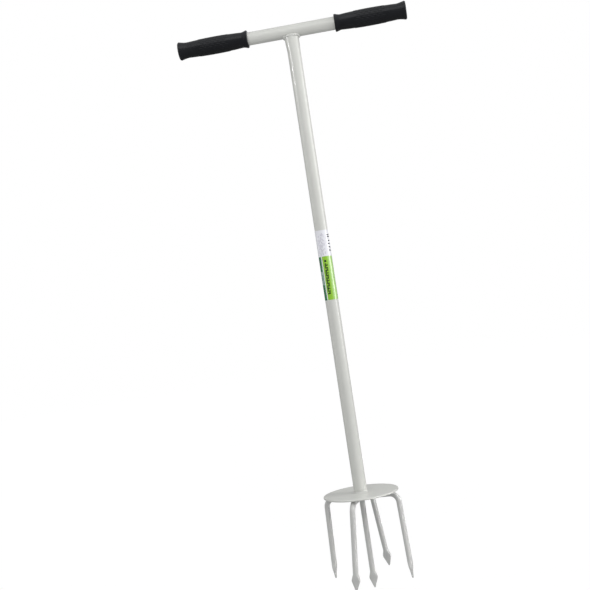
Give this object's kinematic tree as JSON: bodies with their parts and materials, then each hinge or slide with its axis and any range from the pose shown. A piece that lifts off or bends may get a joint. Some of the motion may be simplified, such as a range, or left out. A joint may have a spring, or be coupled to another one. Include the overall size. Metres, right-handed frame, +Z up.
{
  "type": "hand twist cultivator",
  "caption": "Stand-up twist tiller: T-handle with flared black grips, straight tube shaft, round depth-stop disc and bent round-bar tines with spear points for loosening and aerating soil.",
  "frame": {"origin": "on the ground at the point of the centre tine, which is the centre of the bounding box's bottom", "axes": "+Z up along the shaft, +X along the crossbar to the right grip, +Y away from a user who faces the label"},
  "size_m": [0.443, 0.155, 1.0865],
  "materials": {
    "powder_coat": "pale warm grey powder coat, satin to semi-gloss",
    "tine_coat": "the same powder coat on round bar, slightly greyer",
    "weld_coat": "powder coat over a rippled weld bead",
    "grip_vinyl": "dipped-look black soft vinyl with a fine raised pattern",
    "label_white": "white printed film",
    "label_green": "lime and dark green printed film"
  },
  "bodies": {
    "root": {"crossbar": "powder_coat", "shaft": "powder_coat", "left_grip": "grip_vinyl", "right_grip": "grip_vinyl", "handle_weld": "weld_coat", "disc_plate": "powder_coat", "shaft_weld": "weld_coat", "tine_right": "tine_coat", "tine_back": "tine_coat", "tine_left": "tine_coat", "tine_front": "tine_coat", "centre_tine": "tine_coat", "centre_weld": "weld_coat", "tine_right_weld_a": "weld_coat", "tine_right_weld_b": "weld_coat", "tine_back_weld_a": "weld_coat", "tine_back_weld_b": "weld_coat", "tine_left_weld_a": "weld_coat", "tine_left_weld_b": "weld_coat", "tine_front_weld_a": "weld_coat", "tine_front_weld_b": "weld_coat", "white_label": "label_white", "green_label": "label_green"}
  },
  "joints": []
}
